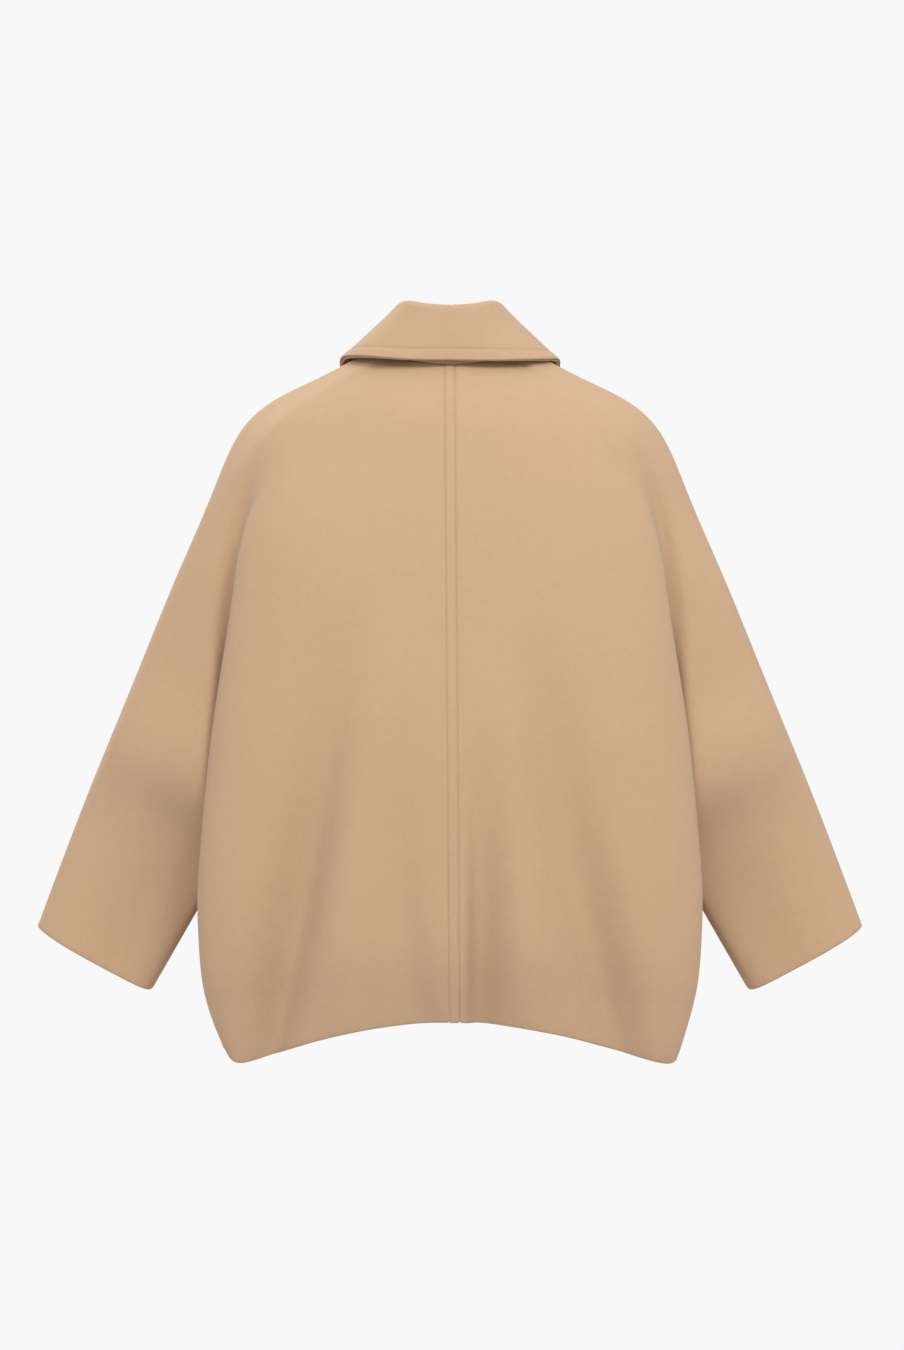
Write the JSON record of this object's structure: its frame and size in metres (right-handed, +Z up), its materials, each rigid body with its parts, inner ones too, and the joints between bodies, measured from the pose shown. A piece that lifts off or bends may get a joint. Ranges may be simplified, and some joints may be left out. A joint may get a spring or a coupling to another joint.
{
  "type": "short wool coat, filled out with no wearer",
  "caption": "Short, wide wool coat with a folded collar and wide sleeves cut in one with the body, worn closed and hollow, with rounded sides and soft hanging folds.",
  "frame": {"origin": "middle of the neck opening at the height of the shoulders, where the wearer holds it up", "axes": "+X to the wearer's left, from cuff to cuff; the front faces -Y and the back +Y; +Z up"},
  "size_m": [0.914, 0.304, 0.8321],
  "materials": {
    "wool": "matte felted wool",
    "horn": "satin"
  },
  "bodies": {
    "root": {"back_left": "wool", "back_right": "wool", "front_left": "wool", "front_right": "wool", "upper_collar": "wool", "under_collar": "wool", "button_1": "horn", "button_2": "horn", "button_3": "horn", "button_4": "horn"}
  },
  "joints": []
}
